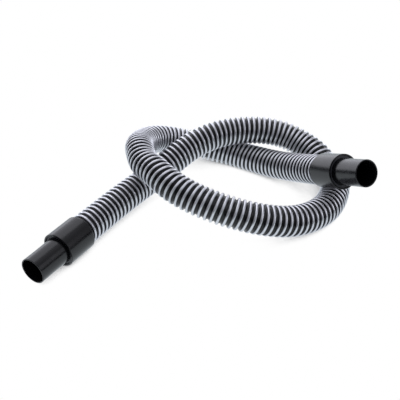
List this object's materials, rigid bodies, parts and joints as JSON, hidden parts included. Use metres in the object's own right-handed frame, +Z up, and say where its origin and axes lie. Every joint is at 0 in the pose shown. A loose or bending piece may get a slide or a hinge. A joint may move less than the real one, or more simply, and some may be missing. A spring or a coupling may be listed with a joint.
{
  "type": "vacuum hose",
  "caption": "Ribbed flexible suction hose lying in a loose overhand loop, with a swivelling tapered cuff on each end.",
  "frame": {"origin": "on the surface that the hose lies on, under the middle of its outline seen from above", "axes": "+Z up from that surface; +X along the longest extent, from the left cuff towards the right cuff; +Y towards the back, away from the side that both mouths face"},
  "size_m": [0.4675, 0.3433, 0.1274],
  "materials": {
    "hose_wall": "satin",
    "hose_rib": "satin",
    "cuff_plastic": "satin",
    "seal_rubber": "matte",
    "ring_plastic": "satin"
  },
  "bodies": {
    "hose_and_collars": {"hose": "hose_wall", "left_collar": "cuff_plastic", "left_sealing_washer": "seal_rubber", "left_retaining_ring": "ring_plastic", "right_collar": "cuff_plastic", "right_sealing_washer": "seal_rubber", "right_retaining_ring": "ring_plastic"},
    "left_spigot": {"left_spigot": "cuff_plastic"},
    "right_spigot": {"right_spigot": "cuff_plastic"}
  },
  "joints": [
    {"name": "left_swivel", "type": "hinge", "parent": "hose_and_collars", "child": "left_spigot", "pos_m": [-0.18998, -0.11686, 0.025], "axis": [-0.5225, -0.8526, 0], "continuous": true},
    {"name": "right_swivel", "type": "hinge", "parent": "hose_and_collars", "child": "right_spigot", "pos_m": [0.19438, -0.02348, 0.08659], "axis": [0.4183, -0.7867, 0.454], "continuous": true}
  ]
}
